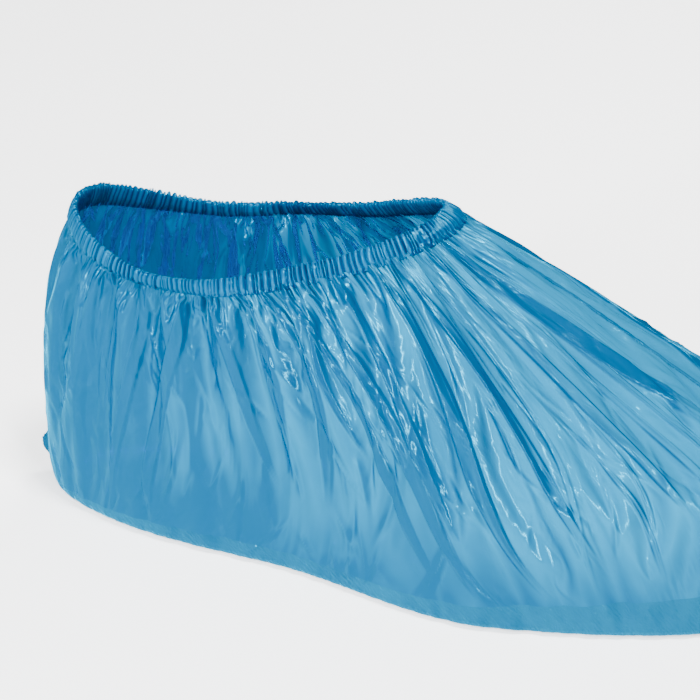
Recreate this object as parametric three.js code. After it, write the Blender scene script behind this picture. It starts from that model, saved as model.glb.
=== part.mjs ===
// A disposable shoe cover of thin film, gathered by an elastic hem round its ankle opening.
// +X runs to the toe, -Y is the outer side of the foot and +Z is up. The origin lies on the
// floor under the middle of the sole. Sizes are in millimetres and angles in degrees.
import * as THREE from "three";

// Sole.
const LENGTH = 290;
const HEEL_WIDTH = 88;
const WAIST_WIDTH = 82;
const BALL_WIDTH = 118;
const FOREFOOT_BEND = 10;
const SOLE_ROUNDNESS = 0.77;
const SOLE_CORNER = 3.5;
const TRAY_HEEL_HEIGHT = 5;
const TRAY_SIDE_HEIGHT = 8;
const TRAY_TOE_HEIGHT = 19;

// Ankle opening.
const RIM_FROM_HEEL = 12.5;
const RIM_LENGTH = 140;
const RIM_WIDTH = 69;
const RIM_FRONT_WIDTH = 57;
const RIM_ROUNDNESS = 0.91;
const RIM_HEEL_HEIGHT = 120;
const RIM_SIDE_HEIGHT = 109;
const RIM_FRONT_HEIGHT = 135;

// Film, seams and hem.
const FILM = 1.5;
const GAP = 0.3;
const SEAM_WIDTH = 5;
const RIB_WIDTH = 1.4;
const RIB_STAND = 0.9;
const EAR_STAND = 7;
const HEM_HEIGHT = 9;
const PLEATS = 60;
const PLEAT_STAND = 0.8;
const HEM_PINCH = 0.7;
const SCALLOP = 0.5;

// How finely the curved pieces are divided.
const PANEL_COLUMNS = 76;
const PANEL_ROWS = 11;
const TRAY_COLUMNS = 80;
const SEAM_ROWS = 16;
const COLUMNS_PER_PLEAT = 4;

// How the film climbs from the sole's edge to the rim, in even steps. Each row gives the
// share of the way in towards the rim and the share of its height, at the heel, side and toe.
const CLIMB = [
  { heelIn: 0.0, heelUp: 0.0, sideIn: 0.0, sideUp: 0.0, toeIn: 0.0, toeUp: 0.0 },
  { heelIn: -0.2, heelUp: 0.1, sideIn: -0.03, sideUp: 0.1, toeIn: -0.01, toeUp: 0.1 },
  { heelIn: -0.2, heelUp: 0.25, sideIn: 0.0, sideUp: 0.27, toeIn: 0.0, toeUp: 0.25 },
  { heelIn: -0.2, heelUp: 0.42, sideIn: 0.06, sideUp: 0.47, toeIn: 0.04, toeUp: 0.38 },
  { heelIn: -0.04, heelUp: 0.58, sideIn: 0.2, sideUp: 0.67, toeIn: 0.14, toeUp: 0.48 },
  { heelIn: 0.17, heelUp: 0.74, sideIn: 0.42, sideUp: 0.82, toeIn: 0.34, toeUp: 0.61 },
  { heelIn: 0.61, heelUp: 0.88, sideIn: 0.7, sideUp: 0.93, toeIn: 0.66, toeUp: 0.81 },
  { heelIn: 1.0, heelUp: 1.0, sideIn: 1.0, sideUp: 1.0, toeIn: 1.0, toeUp: 1.0 },
];

// The main folds of each side. Angles run from the heel, 0, to the toe, 180. A fold leaves
// the hem at one angle, passes half-way down at another, points to a third at the sole's edge
// and fades out at a share of the way up.
const OUTER_FOLDS = [
  { hem: 26, middle: 18, low: 16, ends: 0.3, stand: 1.6, wide: 9 },
  { hem: 45, middle: 32, low: 30, ends: 0.3, stand: 2.2, wide: 9 },
  { hem: 62, middle: 46, low: 41, ends: 0.12, stand: 2.6, wide: 8 },
  { hem: 77, middle: 58, low: 51, ends: 0.1, stand: 3.0, wide: 8 },
  { hem: 87, middle: 70, low: 66, ends: 0.3, stand: 2.2, wide: 7 },
  { hem: 95, middle: 81, low: 78, ends: 0.35, stand: 2.8, wide: 7 },
  { hem: 104, middle: 91, low: 90, ends: 0.1, stand: 3.0, wide: 7 },
  { hem: 114, middle: 100, low: 110, ends: 0.15, stand: 3.4, wide: 8 },
  { hem: 134, middle: 110, low: 120, ends: 0.2, stand: 3.4, wide: 8 },
  { hem: 143, middle: 120, low: 129, ends: 0.25, stand: 3.2, wide: 9 },
  { hem: 156, middle: 142, low: 147, ends: 0.4, stand: 3.0, wide: 11 },
  { hem: 164, middle: 166, low: 172, ends: 0.5, stand: 2.6, wide: 9 },
];
const INNER_FOLDS = [
  { hem: 30, middle: 21, low: 19, ends: 0.25, stand: 2.0, wide: 9 },
  { hem: 49, middle: 37, low: 33, ends: 0.3, stand: 2.4, wide: 9 },
  { hem: 68, middle: 50, low: 45, ends: 0.12, stand: 2.8, wide: 8 },
  { hem: 82, middle: 64, low: 57, ends: 0.2, stand: 2.6, wide: 8 },
  { hem: 93, middle: 77, low: 72, ends: 0.3, stand: 2.8, wide: 7 },
  { hem: 103, middle: 88, low: 86, ends: 0.12, stand: 3.0, wide: 7 },
  { hem: 117, middle: 99, low: 104, ends: 0.2, stand: 3.2, wide: 8 },
  { hem: 129, middle: 112, low: 119, ends: 0.2, stand: 3.2, wide: 8 },
  { hem: 145, middle: 125, low: 133, ends: 0.3, stand: 3.0, wide: 9 },
  { hem: 159, middle: 146, low: 150, ends: 0.4, stand: 2.8, wide: 10 },
];

// How far the heel seam's rib stands out on its way up from the sole panel, with the small
// crimped ear near its lower end.
const HEEL_RIB = [
  { above: 0, stand: 0.5 * EAR_STAND },
  { above: 4, stand: EAR_STAND },
  { above: 8, stand: 0.95 * EAR_STAND },
  { above: 14, stand: 0.35 * EAR_STAND },
  { above: 22, stand: RIB_STAND },
];

const clamp = THREE.MathUtils.clamp;
const lerp = THREE.MathUtils.lerp;
const smooth = THREE.MathUtils.smoothstep;
const radians = THREE.MathUtils.degToRad;

// Reads a column of the climb table at any share of the way up, on a smooth curve.
function climbAt(column, share) {
  const place = clamp(share, 0, 1) * (CLIMB.length - 1);
  const row = Math.min(Math.floor(place), CLIMB.length - 2);
  const past = place - row;
  const value = (k) => CLIMB[clamp(k, 0, CLIMB.length - 1)][column];
  const [before, from, to, after] = [value(row - 1), value(row), value(row + 1), value(row + 2)];
  const bend = 2 * before - 5 * from + 4 * to - after;
  const twist = 3 * (from - to) + after - before;
  return from + 0.5 * past * (to - before + past * (bend + past * twist));
}

// How far along the foot an angle is, from 0 at the heel to 1 at the toe.
function alongFoot(angle) {
  return (1 - Math.cos(radians(angle))) / 2;
}

// The angle from the heel, from 0 to 180 on both sides.
function fromHeel(angle) {
  return Math.abs(((((angle + 180) % 360) + 360) % 360) - 180);
}

// How far across the foot a loop reaches at an angle. The outer side is negative.
function acrossFoot(angle, width, roundness) {
  const turn = Math.sin(radians(angle));
  return (-Math.sign(turn) * Math.pow(Math.abs(turn), roundness) * width) / 2;
}

function soleEdge(angle) {
  const along = alongFoot(angle);
  const back = lerp(HEEL_WIDTH, WAIST_WIDTH, smooth(along, 0.12, 0.35));
  const width = lerp(back, BALL_WIDTH, smooth(along, 0.35, 0.66));
  return { x: LENGTH * along, y: acrossFoot(angle, width, SOLE_ROUNDNESS) };
}

function rimEdge(angle) {
  const along = alongFoot(angle);
  const width = lerp(RIM_WIDTH, RIM_FRONT_WIDTH, smooth(along, 0.42, 0.74));
  const heelRise = (RIM_HEEL_HEIGHT - RIM_SIDE_HEIGHT) * Math.pow(clamp(1 - along / 0.3, 0, 1), 1.7);
  const throatShare = clamp((along - 0.3) / 0.7, 0, 1);
  const throatRise = (RIM_FRONT_HEIGHT - RIM_SIDE_HEIGHT) * Math.pow(throatShare, 1.6);
  return {
    x: RIM_FROM_HEEL + RIM_LENGTH * along,
    y: acrossFoot(angle, width, RIM_ROUNDNESS),
    z: RIM_SIDE_HEIGHT + heelRise + throatRise,
  };
}

// The unfolded film at an angle and at a share of the way from the sole's edge to the rim.
function plainFilm(angle, share) {
  const sole = soleEdge(angle);
  const rim = rimEdge(angle);
  const turn = fromHeel(angle);
  const heel = 1 - smooth(turn, 20, 75);
  const toe = smooth(turn, 70, 150);
  const side = 1 - heel - toe;
  const mix = (way) =>
    heel * climbAt("heel" + way, share) +
    side * climbAt("side" + way, share) +
    toe * climbAt("toe" + way, share);
  const inward = mix("In");
  const x = lerp(sole.x, rim.x, inward);
  const y = lerp(sole.y, rim.y, inward) + FOREFOOT_BEND * smooth(x / LENGTH, 0.35, 1);
  return new THREE.Vector3(x - LENGTH / 2, y, rim.z * mix("Up"));
}

// The direction that points out of the cover from the unfolded film.
function outOfFilm(angle, share) {
  const onward = plainFilm(angle + 0.5, share).sub(plainFilm(angle - 0.5, share));
  const low = clamp(share - 0.01, 0, 0.98);
  const upward = plainFilm(angle, low + 0.02).sub(plainFilm(angle, low));
  return onward.cross(upward).normalize();
}

// A point beside the unfolded film, a distance out from it.
function filmPoint(angle, share, out) {
  return plainFilm(angle, share).addScaledVector(outOfFilm(angle, share), out);
}

// A column of a fold table, read between the folds on either side of an angle. The seams at
// 0 and 180 stay where they are.
function foldColumn(folds, column, middle) {
  const next = folds.findIndex((fold) => fold.middle > middle);
  const seam = (angle) => ({ hem: angle, middle: angle, low: angle });
  const to = next < 0 ? seam(180) : folds[next];
  const before = next < 0 ? folds.length - 1 : next - 1;
  const from = before < 0 ? seam(0) : folds[before];
  return lerp(from[column], to[column], (middle - from.middle) / (to.middle - from.middle));
}

// The angle at a share of the line of film that passes half-way down at a given angle. The
// lines gather towards the front of the hem, and the folds run along them.
function filmLine(folds, middle, share) {
  const reach = (share - 0.55) / 0.45;
  const end = foldColumn(folds, share > 0.55 ? "hem" : "low", middle);
  return lerp(middle, end, reach * reach);
}

// How far the folds stand out at a share of the line that passes half-way down at an angle.
function foldsAt(folds, middle, share) {
  const calm = smooth(middle, 2, 8) * (1 - smooth(middle, 172, 178));
  let stand = 0;
  for (const fold of folds) {
    const off = clamp(Math.abs(middle - fold.middle) / (fold.wide / 2), 0, 1);
    const grown = smooth(share, fold.ends, fold.ends + 0.25);
    const drawnIn = 1 - 0.5 * smooth(share, 0.75, 1);
    stand += fold.stand * grown * drawnIn * Math.pow(Math.cos((off * Math.PI) / 2), 2);
  }
  return calm * stand;
}

// Halves an interval until the value that rises or falls in it meets its target.
function solve(from, to, target, value) {
  const rising = value(to) > value(from);
  let [low, high] = [from, to];
  for (let i = 0; i < 30; i++) {
    const middle = (low + high) / 2;
    if (value(middle) < target === rising) {
      low = middle;
    } else {
      high = middle;
    }
  }
  return (low + high) / 2;
}

// The share at which the film is a height above the floor.
function shareAtHeight(angle, height) {
  return solve(0, 0.6, height, (share) => plainFilm(angle, share).z);
}

// The share at which the film is a distance down from the rim.
function shareBelowRim(angle, drop) {
  const rim = plainFilm(angle, 1);
  return solve(0.6, 1, drop, (share) => plainFilm(angle, share).distanceTo(rim));
}

// The angle at which the film is a distance along it from a seam's middle. The seam is at
// the heel, 0, or at the toe, 180.
function angleFromSeam(seam, away, share) {
  const line = plainFilm(seam, share);
  const reach = 40 * Math.sign(away);
  const distance = (angle) => plainFilm(angle, share).distanceTo(line);
  return solve(seam, seam + reach, Math.abs(away), distance);
}

// The height at which the sole panel's edge ends and the panels and seams begin.
function trayTop(angle) {
  const along = alongFoot(angle);
  const back = lerp(TRAY_HEEL_HEIGHT, TRAY_SIDE_HEIGHT, smooth(along, 0, 0.3));
  return lerp(back, TRAY_TOE_HEIGHT, smooth(along, 0.5, 1));
}

// The see-through film of the walls.
function filmMaterial() {
  return new THREE.MeshStandardMaterial({ color: 0x35a9d6, roughness: 0.2, metalness: 0 });
}

// The same film, doubled and gathered in the hem, so deeper in colour.
function hemMaterial() {
  return new THREE.MeshStandardMaterial({ color: 0x0b8fca, roughness: 0.25, metalness: 0 });
}

// The embossed film of the sole, which shines less.
function soleMaterial() {
  return new THREE.MeshStandardMaterial({ color: 0x1f93c0, roughness: 0.45, metalness: 0 });
}

// Collects flat faces and makes one closed mesh of them.
function mesh(name, quads, material) {
  const corners = quads.flatMap(([a, b, c, d]) => [a, b, c, a, c, d]);
  const geometry = new THREE.BufferGeometry().setFromPoints(corners);
  geometry.computeVertexNormals();
  const piece = new THREE.Mesh(geometry, material);
  piece.name = name;
  return piece;
}

// The faces of a skin between an outer and an inner grid of points, each a list of columns
// from the heel on, with its points from the sole up. A ring joins its last column to its first.
function skinQuads(outer, inner, ring) {
  const quads = [];
  const rows = outer[0].length;
  const spans = ring ? outer.length : outer.length - 1;
  for (let i = 0; i < spans; i++) {
    const n = (i + 1) % outer.length;
    for (let j = 0; j + 1 < rows; j++) {
      quads.push([outer[i][j], outer[n][j], outer[n][j + 1], outer[i][j + 1]]);
      quads.push([inner[n][j], inner[i][j], inner[i][j + 1], inner[n][j + 1]]);
    }
    quads.push([inner[i][0], inner[n][0], outer[n][0], outer[i][0]]);
    quads.push([outer[i][rows - 1], outer[n][rows - 1], inner[n][rows - 1], inner[i][rows - 1]]);
  }
  if (!ring) {
    const last = outer.length - 1;
    for (let j = 0; j + 1 < rows; j++) {
      quads.push([inner[0][j], outer[0][j], outer[0][j + 1], inner[0][j + 1]]);
      quads.push([outer[last][j], inner[last][j], inner[last][j + 1], outer[last][j + 1]]);
    }
  }
  return quads;
}

// One film wall, from the heel seam to the toe seam and from the sole panel to the hem.
// The outer side runs with the angles and the inner side against them.
function filmPanel(name, side, folds) {
  const clear = SEAM_WIDTH / 2 + GAP;
  const outer = [];
  const inner = [];
  for (let i = 0; i <= PANEL_COLUMNS; i++) {
    const even = i / PANEL_COLUMNS;
    const middle = 180 * (even + 0.024 * Math.sin(2 * Math.PI * even));
    const angleAt = (share) => {
      const heel = angleFromSeam(0, clear * side, share);
      const toe = angleFromSeam(180 * side, -clear * side, share);
      return lerp(heel, toe, filmLine(folds, middle, share) / 180);
    };
    const clearOfTray = (share) => {
      const angle = angleAt(share);
      return plainFilm(angle, share).z - trayTop(angle);
    };
    const belowRim = (share) => {
      const angle = angleAt(share);
      return plainFilm(angle, share).distanceTo(plainFilm(angle, 1));
    };
    const low = solve(0, 0.6, GAP, clearOfTray);
    const high = solve(0.6, 1, HEM_HEIGHT + GAP, belowRim);
    const outerColumn = [];
    const innerColumn = [];
    for (let j = 0; j < PANEL_ROWS; j++) {
      const share = lerp(low, high, j / (PANEL_ROWS - 1));
      const stand = foldsAt(folds, middle, share);
      outerColumn.push(filmPoint(angleAt(share), share, stand));
      innerColumn.push(filmPoint(angleAt(share), share, stand - FILM));
    }
    outer.push(outerColumn);
    inner.push(innerColumn);
  }
  if (side < 0) {
    outer.reverse();
    inner.reverse();
  }
  return mesh(name, skinQuads(outer, inner, false), filmMaterial());
}

// A welded seam: a flat strip with a rib along its middle that stands out by a given amount
// at each height above the strip's lower end.
function seam(name, at, ribStand) {
  const flat = SEAM_WIDTH / 2;
  const rib = RIB_WIDTH / 2;
  const across = [
    { away: -flat, raised: 0 },
    { away: -rib - 0.2, raised: 0 },
    { away: -rib, raised: 1 },
    { away: rib, raised: 1 },
    { away: rib + 0.2, raised: 0 },
    { away: flat, raised: 0 },
  ];
  const foot = trayTop(at) + GAP;
  const low = shareAtHeight(at, foot);
  const high = shareBelowRim(at, HEM_HEIGHT + GAP);
  const outer = across.map(() => []);
  const inner = across.map(() => []);
  for (let j = 0; j < SEAM_ROWS; j++) {
    const step = j / (SEAM_ROWS - 1);
    const share = lerp(low, high, Math.pow(step, 1.4));
    const stand = ribStand(plainFilm(at, share).z - foot);
    across.forEach(({ away, raised }, column) => {
      const angle = angleFromSeam(at, away, share);
      outer[column].push(filmPoint(angle, share, raised * stand));
      inner[column].push(filmPoint(angle, share, -FILM));
    });
  }
  return mesh(name, skinQuads(outer, inner, false), filmMaterial());
}

// The heel rib's stand, read between the rows of its table.
function heelRib(above) {
  const next = HEEL_RIB.findIndex((row) => row.above > above);
  if (next < 0) {
    return RIB_STAND;
  }
  const to = HEEL_RIB[next];
  const from = HEEL_RIB[Math.max(next - 1, 0)];
  return lerp(from.stand, to.stand, smooth(above, from.above, to.above));
}

function toeRib() {
  return RIB_STAND;
}

// The sole: a flat tray of film whose edge turns up round the foot.
function solePanel() {
  const outer = [];
  const inner = [];
  for (let i = 0; i < TRAY_COLUMNS; i++) {
    const angle = (360 * i) / TRAY_COLUMNS;
    const top = shareAtHeight(angle, trayTop(angle));
    const corner = shareAtHeight(angle, SOLE_CORNER);
    const turned = shareAtHeight(angle, FILM + 0.5);
    const flat = filmPoint(angle, 0, -SOLE_CORNER).setZ(0);
    const round = filmPoint(angle, corner, -0.3 * SOLE_CORNER).setZ(0.3 * SOLE_CORNER);
    outer.push([flat, round, filmPoint(angle, corner, 0), filmPoint(angle, top, 0)]);
    inner.push([
      filmPoint(angle, 0, -SOLE_CORNER - 0.5).setZ(FILM),
      filmPoint(angle, turned, -FILM - 1).setZ(FILM + 0.5),
      filmPoint(angle, corner, -FILM).setZ(SOLE_CORNER + 0.5),
      filmPoint(angle, top, -FILM),
    ]);
  }
  // The skin's own lower rim is left out, because the flat sole closes it.
  const quads = skinQuads(outer, inner, true).filter(
    ([a, b, c, d]) => !(a.z === FILM && b.z === FILM && c.z === 0 && d.z === 0),
  );
  const half = TRAY_COLUMNS / 2;
  for (let i = 0; i < half; i++) {
    const far = (TRAY_COLUMNS - i) % TRAY_COLUMNS;
    const farNext = TRAY_COLUMNS - i - 1;
    quads.push([outer[i][0], outer[far][0], outer[farNext][0], outer[i + 1][0]]);
    quads.push([inner[i][0], inner[i + 1][0], inner[farNext][0], inner[far][0]]);
  }
  return mesh("sole_panel", quads, soleMaterial());
}

// The gathered band: a ring of upright pleats, pinched in where it meets the film.
function elasticHem() {
  const columns = PLEATS * COLUMNS_PER_PLEAT;
  const rows = [
    { up: 0, stand: -HEM_PINCH, pleat: 0.4 },
    { up: 0.5, stand: 0.4, pleat: 1 },
    { up: 1, stand: -0.3, pleat: 0.7 },
  ];
  const outer = [];
  const inner = [];
  for (let i = 0; i < columns; i++) {
    const even = i / columns;
    const angle = 360 * even + 4 * Math.sin(4 * Math.PI * even);
    const wave = Math.cos((2 * Math.PI * i) / COLUMNS_PER_PLEAT);
    const outerColumn = [];
    const innerColumn = [];
    for (const row of rows) {
      const share = shareBelowRim(angle, HEM_HEIGHT * (1 - row.up));
      const stand = row.stand + row.pleat * PLEAT_STAND * wave;
      const lift = row.up === 1 ? SCALLOP * wave : 0;
      const up = new THREE.Vector3(0, 0, lift);
      outerColumn.push(filmPoint(angle, share, stand).add(up));
      innerColumn.push(filmPoint(angle, share, stand - FILM).add(up));
    }
    outer.push(outerColumn);
    inner.push(innerColumn);
  }
  return mesh("elastic_hem", skinQuads(outer, inner, true), hemMaterial());
}

const shoeCover = new THREE.Group();
shoeCover.add(
  solePanel(),
  filmPanel("outer_panel", 1, OUTER_FOLDS),
  filmPanel("inner_panel", -1, INNER_FOLDS),
  elasticHem(),
  seam("heel_seam", 0, heelRib),
  seam("toe_seam", 180, toeRib),
);

export default shoeCover;
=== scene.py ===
import math

import bmesh
import bpy
import numpy as np
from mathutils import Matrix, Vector


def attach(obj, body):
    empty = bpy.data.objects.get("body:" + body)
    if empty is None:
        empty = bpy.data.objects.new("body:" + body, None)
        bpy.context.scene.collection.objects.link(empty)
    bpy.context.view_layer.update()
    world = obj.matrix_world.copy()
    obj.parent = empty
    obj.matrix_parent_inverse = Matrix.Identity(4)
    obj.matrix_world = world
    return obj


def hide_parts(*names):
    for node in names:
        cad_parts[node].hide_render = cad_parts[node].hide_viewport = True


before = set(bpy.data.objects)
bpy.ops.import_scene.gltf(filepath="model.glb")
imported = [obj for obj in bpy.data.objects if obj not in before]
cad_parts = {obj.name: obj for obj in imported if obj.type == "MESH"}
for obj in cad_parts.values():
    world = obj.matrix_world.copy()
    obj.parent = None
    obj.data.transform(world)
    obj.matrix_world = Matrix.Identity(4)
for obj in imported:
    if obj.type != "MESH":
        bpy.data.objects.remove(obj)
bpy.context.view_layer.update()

# A disposable shoe cover of thin blue film, gathered by an elastic hem. Sizes are in metres
# and angles in degrees. +X runs to the toe and -Y is the outer side of the foot.
MM = 0.001
SEED = 20
NOISE_SIZE = 64
# The least that a step between points is taken to be, where something is divided by it, and
# what is added to a length so that it is never zero.
LEAST = 1e-6
TINY = 1e-9

# Sole.
LENGTH = 290 * MM
HEEL_WIDTH = 88 * MM
WAIST_WIDTH = 82 * MM
BALL_WIDTH = 118 * MM
FOREFOOT_BEND = 10 * MM
SOLE_ROUNDNESS = 0.77
SOLE_CORNER = 3.5 * MM
TRAY_HEEL_HEIGHT = 5 * MM
TRAY_SIDE_HEIGHT = 8 * MM
TRAY_TOE_HEIGHT = 19 * MM

# Ankle opening.
RIM_FROM_HEEL = 12.5 * MM
RIM_LENGTH = 140 * MM
RIM_WIDTH = 69 * MM
RIM_FRONT_WIDTH = 57 * MM
RIM_ROUNDNESS = 0.91
RIM_HEEL_HEIGHT = 120 * MM
RIM_SIDE_HEIGHT = 109 * MM
RIM_FRONT_HEIGHT = 135 * MM
RIM_AROUND = 360 * MM
# The share of the way from heel to toe at which the rim is lowest.
RIM_LOWEST = 0.3
HEM_HEIGHT = 9 * MM

# How the film climbs from the sole's edge to the rim, in even steps: the share of the way in
# towards the rim and the share of its height, at the heel, the side and the toe.
CLIMB_COLUMNS = ("heel_in", "heel_up", "side_in", "side_up", "toe_in", "toe_up")
CLIMB = np.array([
    (0.0, 0.0, 0.0, 0.0, 0.0, 0.0),
    (-0.2, 0.1, -0.03, 0.1, -0.01, 0.1),
    (-0.2, 0.25, 0.0, 0.27, 0.0, 0.25),
    (-0.2, 0.42, 0.06, 0.47, 0.04, 0.38),
    (-0.04, 0.58, 0.2, 0.67, 0.14, 0.48),
    (0.17, 0.74, 0.42, 0.82, 0.34, 0.61),
    (0.61, 0.88, 0.7, 0.93, 0.66, 0.81),
    (1.0, 1.0, 1.0, 1.0, 1.0, 1.0),
])

# The main folds of each side, as angles from the heel seam: where a fold leaves the hem,
# where it is half-way down, where it points at the sole's edge, the share of the way up at
# which it has faded out, how far it stands out in millimetres and how wide it is in degrees.
# Half-way down is at MIDDLE_SHARE of the way up, and ABOVE_MIDDLE is the share above it.
MIDDLE_SHARE = 0.55
ABOVE_MIDDLE = 0.45
FOLD_COLUMNS = ("hem", "middle", "low", "ends", "stand", "wide")
OUTER_FOLDS = np.array([
    (26, 18, 16, 0.30, 1.6, 9),
    (45, 32, 30, 0.30, 2.2, 9),
    (62, 46, 41, 0.12, 2.6, 8),
    (77, 58, 51, 0.10, 3.0, 8),
    (87, 70, 66, 0.30, 2.2, 7),
    (95, 81, 78, 0.35, 2.8, 7),
    (104, 91, 90, 0.10, 3.0, 7),
    (114, 100, 110, 0.15, 3.4, 8),
    (134, 110, 120, 0.20, 3.4, 8),
    (143, 120, 129, 0.25, 3.2, 9),
    (156, 142, 147, 0.40, 3.0, 11),
    (164, 166, 172, 0.50, 2.6, 9),
])
INNER_FOLDS = np.array([
    (30, 21, 19, 0.25, 2.0, 9),
    (49, 37, 33, 0.30, 2.4, 9),
    (68, 50, 45, 0.12, 2.8, 8),
    (82, 64, 57, 0.20, 2.6, 8),
    (93, 77, 72, 0.30, 2.8, 7),
    (103, 88, 86, 0.12, 3.0, 7),
    (117, 99, 104, 0.20, 3.2, 8),
    (129, 112, 119, 0.20, 3.2, 8),
    (145, 125, 133, 0.30, 3.0, 9),
    (159, 146, 150, 0.40, 2.8, 10),
])

# The smaller gathers that run down from the hem, coarsest first, in millimetres: how far apart
# they are, how long, how wide from the crest to one side, and how far they stand out.
GATHERS = np.array([
    (14.0, 70.0, 4.0, 1.1),
    (6.0, 38.0, 2.2, 0.8),
    (3.2, 22.0, 1.4, 0.6),
    (2.1, 10.0, 0.9, 0.4),
])

# The flattened folds, whose film lies double: the angle and share of the way up at their
# top, middle and low end, how wide and how high they are in millimetres, and how much deeper
# their doubled film looks.
FLAT_COLUMNS = ("top", "top_share", "mid", "mid_share", "low", "low_share", "wide", "stand", "deep")
FLAT_FOLDS = (
    (40, 0.96, 33, 0.72, 32, 0.45, 3.0, 0.8, 0.5),
    (50, 0.96, 42, 0.68, 38, 0.35, 4.0, 1.0, 0.6),
    (60, 0.96, 48, 0.56, 40, 0.15, 4.0, 1.1, 0.5),
    (66, 0.96, 60, 0.70, 58, 0.50, 3.0, 0.8, 0.4),
    (75, 0.96, 56, 0.55, 49, 0.08, 5.0, 1.2, 0.6),
    (81, 0.96, 72, 0.62, 75, 0.30, 3.0, 0.9, 0.4),
    (91, 0.96, 80, 0.66, 78, 0.40, 4.5, 1.1, 0.8),
    (97, 0.96, 88, 0.67, 83, 0.30, 5.0, 1.2, 0.6),
    (103, 0.96, 94, 0.58, 101, 0.15, 4.0, 1.2, 0.8),
    (109, 0.96, 99, 0.55, 108, 0.12, 5.0, 1.4, 0.5),
    (118, 0.96, 103, 0.65, 104, 0.30, 3.5, 1.0, 0.5),
    (133, 0.98, 112, 0.66, 118, 0.15, 5.0, 1.5, 0.6),
    (140, 0.98, 124, 0.70, 126, 0.25, 4.5, 1.4, 0.5),
    (153, 0.98, 145, 0.78, 144, 0.40, 4.0, 1.2, 0.5),
    (160, 0.97, 162, 0.82, 171, 0.65, 6.0, 1.0, 1.0),
)
# How many thin folds lie among them, and how far the far side's flat folds may be turned.
THIN_FOLDS = 24
FAR_SIDE_TURN = 4

# How blunt the crest of a fold or crease is, and how much lower that leaves it.
CREST_ROUND = 0.008
CREST_SUNK = 0.09

# Creases: how many, how wide in millimetres from the crest to one side, and how steep. The
# film first folds along the soft ones, and the sharp ones come last. They lean away from the
# run of the folds by about CREASE_LEAN degrees, and by MOST_LEAN at most.
CREASE_LEAN = 20
MOST_LEAN = 32
SOFT_CREASES = {"count": 150, "widths": (1.6, 4.5), "steepness": 0.16}
SHARP_CREASES = {"count": 170, "widths": (1.0, 2.6), "steepness": 0.42}

# The wandering ridges of the crumpled film: how wide, how long and how tall, in millimetres.
CRUMPLES = ((14, 60, 1.5), (7, 32, 0.7), (3.6, 15, 0.3))

# The film settles on a coarse grid first and then on finer ones. A step moves each point on
# by a share of its last move, and pulls it towards its neighbours, two points away as well.
# MOST_IN and MOST_OUT are how far it may go in and out from the plain form. The film grows to
# its flat width over GROWING_TIME of the steps, from MOST_STRETCH of the form's at most, and
# its top edge starts in pleats that are TOP_PLEAT_COLUMNS wide.
SETTLE_LEVELS = (
    {"columns": 110, "rows": 30, "steps": 160, "bend": 0.10},
    {"columns": 220, "rows": 60, "steps": 110, "bend": 0.05},
    {"columns": 440, "rows": 116, "steps": 80, "bend": 0.02},
)
SETTLE_ROUNDS = 3
GROWING_TIME = 0.6
MOST_STRETCH = 1.5
TOP_PLEAT_COLUMNS = (3.2, 6.5)
KEPT_SPEED = 0.88
NEXT_PULL = 0.9
SLANT_PULL = 0.3
UPRIGHT_BEND = 0.4
MOST_IN = 3 * MM
MOST_OUT = 5.5 * MM

# How much wider the film is than the form: everywhere, at the hem and on the body of a wall.
# UPRIGHT_EXCESS is how much longer it is from the sole to the hem.
FILM_EXCESS = 1.008
UPRIGHT_EXCESS = 1.004
HEM_EXCESS = 0.35
HEM_EXCESS_REACH = 16 * MM
BODY_EXCESS = 0.075

# The drawn grids: a side's columns and rows, the sole's rings, and the hem and the seams.
FILM_COLUMNS = 960
TRAY_ROWS = 14
WALL_ROWS = 103
SOLE_RINGS = 30
HEM_COLUMNS = 2000
HEM_ROUND = 26
SEAM_ROWS = 220
SEAM_ROUND = 14

# The gathered hem: its pleats, their spread of widths and heights, how far round the hem they
# wander and lean, how far they stand out and up, and the places where the band lies flat, as
# an angle, a half width in degrees and the share of the pleats that is left.
HEM_PLEATS = 215
HEM_PLEAT_WIDTHS = (0.45, 1.75)
HEM_PLEAT_SIZES = (0.4, 1.4)
HEM_WANDER = 0.0016
HEM_LEAN = 0.002
HEM_HALF_DEPTH = 1.3 * MM
HEM_PLEAT_STAND = 0.62 * MM
HEM_PLEAT_LIFT = 0.45 * MM
HEM_FLAT_LIFT = 0.4 * MM
HEM_FLATS = ((157, 2.6, 0.1), (62, 2.2, 0.25), (251, 2.0, 0.3))

# The welded seams: half the rib's width, how far it stands out and how deep it is sunk in the
# film, its crimps, and the crimped ear near the heel seam's lower end, as heights above the
# floor and how far it stands out there.
RIB_HALF_WIDTH = 0.7 * MM
RIB_STAND = 0.9 * MM
RIB_SUNK = 0.2 * MM
CRIMP_PITCH = 1.3 * MM
CRIMP_DEPTH = 0.35 * MM
EAR = np.array([
    (3.0, 3.0),
    (6.5, 5.6),
    (9.0, 7.2),
    (12.5, 7.0),
    (15.5, 4.2),
    (20.0, 2.2),
    (27.0, 0.9),
]) * MM

# The looks of the film. Its colour runs from deep, where it lies double, to light, where it lies
# open, and it is deepened with painted shade where the film folds steeply, on the folds' flanks,
# which partly stands for film lying double there. clear is the share that is seen through,
# steepness how much the slope deepens the colour with this painted shade, run how the wrinkles
# are drawn out, and emboss the grain's strength. The walls have painted shade at the heel and
# low down, and painted light at the toe.
LOOK_COLUMNS = ("deep", "light", "roughness", "clear", "steepness", "run", "emboss")
FILM_LOOK = ((0.0, 0.052, 0.135), (0.0, 0.17, 0.32), 0.17, 0.1, 0.55, (1.0, 0.4, 0.0), 0.0)
HEM_LOOK = ((0.0, 0.015, 0.07), (0.0, 0.075, 0.18), 0.17, 0.0, 0.6, (1.0, 0.4, 0.0), 0.0)
# The sole's colours are deeper than the walls' as painted shade low down round the sole.
SHADED_SOLE_LOOK = ((0.0, 0.035, 0.1), (0.0, 0.075, 0.155), 0.2, 0.05, 0.4, (1.0, 1.0, 1.0), 0.35)
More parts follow.
